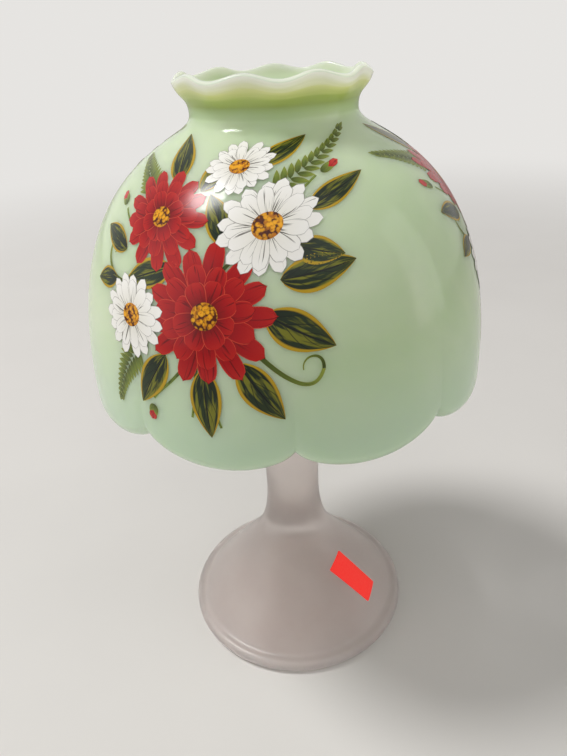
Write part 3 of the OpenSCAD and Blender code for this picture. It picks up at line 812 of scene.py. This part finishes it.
def sheetBrass():
    # sheet brass, spun and lacquered: warm satin metal with fine turning lines and a little brown tarnish
    material, tree = newMaterial("spun sheet brass")
    tarnish = pattern(tree, "Noise", 9, Detail=5)["Fac"]
    tone = ramp(tree, tarnish, (0.32, "#8a6a2e"), (0.55, "#c19a4c"), (0.8, "#d0ac62"))
    place = addNode(tree, "TexCoord").outputs["Object"]
    lines = addNode(tree, "TexWave", {"Vector": place, "Scale": 0.5 / (0.9 * mm), "Distortion": 0.6, "Detail": 2},
                    wave_type="RINGS", rings_direction="Z").outputs["Fac"]  # lines drawn coarser, to show
    coated(tree, {"Base Color": tone, "Metallic": 1.0, "Roughness": ranged(tree, tarnish, 0.24, 0.5),
                  "Normal": bumped(tree, lines, 0.1, 0.04)})
    return material


def roundedLoop(points, radius, steps=3):  # rounds the corners of a closed outline
    loop = []
    for i, corner in enumerate(points):
        ends = []
        for other in (points[i - 1], points[(i + 1) % len(points)]):
            length = math.hypot(other[0] - corner[0], other[1] - corner[1])
            part = min(radius, 0.45 * length) / length
            ends.append(tuple(c + (o - c) * part for c, o in zip(corner, other)))
        for k in range(steps + 1):
            t = k / steps
            loop.append(tuple(a * (1 - t) ** 2 + 2 * b * t * (1 - t) + c * t * t
                              for a, b, c in zip(ends[0], corner, ends[1])))
    return loop


def makeGallery():
    s = gallerySet
    brass = sheetBrass()
    top, sleeveOut = s["hubZ"] + s["sheet"], s["sleeve"] + s["sleeveWall"]
    sleeveTop = top + s["sleeveHeight"]
    collar = turned("hubCollarBrass", roundedLoop([
        (s["sleeve"], s["hubZ"]), (s["hub"], s["hubZ"]), (s["hub"], top), (sleeveOut, top),
        (sleeveOut, sleeveTop), (s["sleeve"], sleeveTop)], s["edge"]), s["steps"])
    finishPiece(collar, brass, "gallery", "brass", "hub_collar")
    flange = s["ringZ"] + s["sheet"]
    ribTop = flange + s["ribHeight"]
    ring = turned("shadeRingBrass", roundedLoop([
        (s["ringInner"], s["ringZ"]), (s["ring"], s["ringZ"]), (s["ring"], flange), (s["ribOuter"], flange),
        (s["ribOuter"], ribTop), (s["ribInner"], ribTop), (s["ribInner"], flange), (s["ringInner"], flange)],
        s["edge"]), s["steps"])
    finishPiece(ring, brass, "gallery", "brass", "shade_ring")
    for number in (1, 2, 3):
        arm = copied(f"ringArmBrass{number}", nodes[f"ring_arm_{number}"].data)
        pick(arm)
        bpy.ops.object.mode_set(mode="EDIT")
        bpy.ops.mesh.select_all(action="SELECT")
        bpy.ops.mesh.remove_doubles(threshold=0.002 * mm)
        bpy.ops.mesh.dissolve_limited(angle_limit=math.radians(1))
        bpy.ops.object.mode_set(mode="OBJECT")
        edge = arm.modifiers.new("edge", "BEVEL")
        edge.width = s["armEdge"] * mm
        edge.segments = 2
        bpy.ops.object.modifier_apply(modifier="edge")
        bpy.ops.object.shade_smooth_by_angle(angle=math.radians(40))
        finishPiece(arm, brass, "gallery", "brass", f"ring_arm_{number}")
    middle = s["sheet"]  # half of the two sheets that a rivet joins
    turns = [math.pi / 2 * i / s["rivetRows"] for i in range(s["rivetRows"])]
    half = [(s["rivet"] * math.cos(t), middle + s["rivetHead"] * math.sin(t)) for t in turns]
    half += [(0, middle + s["rivetHead"])]
    rivet = turned("rivetBrass", [(r, -z) for r, z in half[::-1]] + half, s["rivetSteps"], 60)
    rivets = []
    for arm in range(3):
        turn = math.radians(s["armTurn"] + 120 * arm)
        for radius, level in zip(s["rivetRadii"], (s["hubZ"], top)):
            copy = copied("armRivetsBrass", rivet.data)
            copy.data.transform(Matrix.Translation((radius * mm * math.sin(turn), -radius * mm * math.cos(turn),
                                                    (level + middle) * mm)))
            rivets.append(copy)
    bpy.data.objects.remove(rivet)
    finishPiece(joined(rivets), brass, "gallery", "brass", "arm_rivets")


makeGallery()


# Candle cup

cupSet = {"radius": 21.9, "wall": 2.2, "low": 101.2, "height": 34, "base": 3.5, "kick": 0.6, "kickRadii": (14, 16),
          "footRound": 1.5, "floorRound": 0.7, "steps": 128}


def clearGlass():
    # pressed clear glass: smooth, bright rims, a faint green tint through the thick bottom
    material, tree = newMaterial("clear pressed glass")
    wave = pattern(tree, "Noise", 11, Detail=1)["Fac"]
    coated(tree, {"Base Color": ramp(tree, wave, (0.3, "#eef5f0"), (0.7, "#f7faf8")), "Roughness": 0.03,
                  "IOR": 1.52, "Transmission Weight": 1.0, "Normal": bumped(tree, wave, 0.15, 0.3)})
    return material


def makeCup():
    s = cupSet
    low, top, floorZ = s["low"], s["low"] + s["height"], s["low"] + s["base"]
    rim, foot, bend = s["wall"] / 2, s["footRound"], s["floorRound"]
    cup = [(0, low + s["kick"]), (s["kickRadii"][0], low + s["kick"]), (s["kickRadii"][1], low)]  # shallow kick
    cup += arcRun((s["radius"] - foot, low + foot), foot, -90, 0, 8)
    cup += arcRun((s["radius"] - rim, top - rim), rim, 0, 180, 14)
    cup += arcRun((s["radius"] - s["wall"] - bend, floorZ + bend), bend, 0, -90, 5) + [(0, floorZ)]
    finishPiece(turned("candleCupGlass", cup, s["steps"]), clearGlass(), "cup", "clear_glass", "candle_cup")


makeCup()


# Tealight

tinSet = {"radius": 18.9, "low": 104.9, "height": 16, "wall": 0.4, "panel": 0.3, "panelRadii": (12, 13.5),
          "sideIn": 0.2, "bend": 0.8, "roll": 0.5, "rollDrop": 1.5, "steps": 128}
waxSet = {"top": 118.7, "gap": 0.3, "base": 0.8, "bevel": 1, "steps": 128,
          "rim": ((0, 0), (0.15, 0.05), (0.6, 0.35), (1.6, 0.5)),  # in from the edge, and down
          "well": ((9, 0.62), (4, 0.6), (2.2, 0.45), (1.3, 0.15), (0.9, 0), (0, 0))}  # radius, and down
wickSet = {"radius": 0.72, "top": 125.7, "lift": 0.1, "strands": 3, "strandDepth": 0.28, "turns": 5, "steps": 60,
           "leanFrom": 0.75, "lean": 0.0048}


def drawnAluminium():
    # thin aluminium foil cup, deep drawn: bright satin with upright draw marks
    material, tree = newMaterial("drawn aluminium")
    place = addNode(tree, "TexCoord").outputs["Object"]
    upright = addNode(tree, "Mapping", {"Vector": place, "Scale": (1 / (0.6 * mm), 1 / (0.6 * mm), 1 / (14 * mm))})
    marks = addNode(tree, "TexNoise", {"Vector": upright.outputs["Vector"], "Scale": 1.0, "Detail": 3}).outputs["Fac"]
    coated(tree, {"Base Color": ramp(tree, marks, (0.3, "#b4b7ba"), (0.7, "#dcdee0")), "Metallic": 1.0,
                  "Roughness": ranged(tree, marks, 0.22, 0.42), "Normal": bumped(tree, marks, 0.2, 0.06)})
    return material


def paraffinWax():
    # cast paraffin: milky, soft-edged, slightly greasy shine, faint frosting from cooling
    material, tree = newMaterial("cast paraffin wax")
    frost = pattern(tree, "Noise", 4, Detail=5)["Fac"]
    coated(tree, {"Base Color": ramp(tree, frost, (0.35, "#ebe4d3"), (0.7, "#f4efe3")), "IOR": 1.44,
                  "Roughness": ranged(tree, frost, 0.35, 0.55), "Normal": bumped(tree, frost, 0.2, 0.15),
                  "Subsurface Weight": 0.5, "Subsurface Radius": (1.0, 0.85, 0.65), "Subsurface Scale": 3 * mm})
    return material


def waxedCotton():
    # braided cotton, dipped in wax: off-white strands with darker lines between them
    material, tree = newMaterial("waxed cotton wick")
    fibre = pattern(tree, "Noise", 0.25, Detail=3)["Fac"]
    coated(tree, {"Base Color": ramp(tree, fibre, (0.3, "#d9cfb9"), (0.7, "#f1eadb")), "Roughness": 0.72,
                  "Normal": bumped(tree, fibre, 0.4, 0.08)})
    return material


def tinnedSteel():
    # tinplate, stamped: grey satin metal with a blotchy spangle
    material, tree = newMaterial("stamped tinplate")
    spangle = pattern(tree, "Voronoi", 1.6)["Distance"]
    coated(tree, {"Base Color": ramp(tree, spangle, (0.1, "#a4a8ac"), (0.8, "#c2c5c8")), "Metallic": 1.0,
                  "Roughness": ranged(tree, spangle, 0.3, 0.45)})
    return material


def makeTin():
    s = tinSet
    low, rimZ, wall, bend, roll = s["low"], s["low"] + s["height"], s["wall"], s["bend"], s["roll"]
    side = s["radius"] - s["sideIn"]
    panelZ, (panelIn, panelOut) = low + s["panel"], s["panelRadii"]
    foil = [(0, panelZ), (panelIn, panelZ), (panelOut, low)]  # pressed panel in the bottom
    foil += arcRun((side - bend, low + bend), bend, -90, 0, 6)
    foil += [(side, rimZ - s["rollDrop"])] + arcRun((s["radius"] - roll, rimZ - roll), roll, -60, 200, 14)  # rolled rim
    foil += [(side - wall, rimZ - s["rollDrop"] - 0.1)]
    foil += arcRun((side - bend, low + bend + wall), bend - wall, 0, -90, 5)
    foil += [(panelOut, low + wall), (panelIn, panelZ + wall), (0, panelZ + wall)]
    finishPiece(turned("tealightTin", foil, s["steps"]), drawnAluminium(), "tealight", "tin", "tealight_tin")


def makeWax():
    s = waxSet
    edge, low, top = tinSet["radius"] - tinSet["wall"] - s["gap"], tinSet["low"] + s["base"], s["top"]
    wax = [(0, low), (edge - s["bevel"], low), (edge, low + s["bevel"])]
    wax += [(edge - inwards, top - down) for inwards, down in s["rim"]]  # meniscus at the rim
    wax += [(radius, top - down) for radius, down in s["well"]]  # and around the wick
    finishPiece(turned("tealightWax", wax, s["steps"], 60), paraffinWax(), "tealight", "wax", "tealight_wax")


def makeWick():
    s = wickSet
    clearSelection()
    bpy.ops.mesh.primitive_circle_add(vertices=24, radius=s["radius"] * mm, fill_type="NGON")
    wick = bpy.context.object
    wick.name = "wickCotton"
    for v in wick.data.vertices:  # three strands side by side
        strand = abs(math.cos(s["strands"] * math.atan2(v.co.y, v.co.x) / 2))
        v.co *= 1 - s["strandDepth"] * (1 - strand)
    bpy.ops.object.mode_set(mode="EDIT")
    bpy.ops.mesh.select_all(action="SELECT")
    startZ = tinSet["low"] + tinSet["wall"] + s["lift"]
    bpy.ops.transform.translate(value=(0, 0, startZ * mm))
    rise, twist = (s["top"] - startZ) / s["steps"], 2 * math.pi * s["turns"] / s["steps"]
    for i in range(s["steps"]):
        lean = s["lean"] * max(0, i - s["leanFrom"] * s["steps"])  # the free end leans over a little
        bpy.ops.mesh.extrude_region_move(TRANSFORM_OT_translate={"value": (lean * mm, 0, rise * mm)})
        bpy.ops.transform.rotate(value=twist, orient_axis="Z", center_override=(0, 0, 0))
    bpy.ops.mesh.select_all(action="SELECT")
    bpy.ops.mesh.normals_make_consistent(inside=False)
    bpy.ops.object.mode_set(mode="OBJECT")
    bpy.ops.object.shade_smooth_by_angle(angle=math.radians(60))
    finishPiece(wick, waxedCotton(), "tealight", "cotton", "wick")


makeTin()
makeWax()
makeWick()
nodes["wick_sustainer"].data.materials.clear()
nodes["wick_sustainer"].data.materials.append(tinnedSteel())
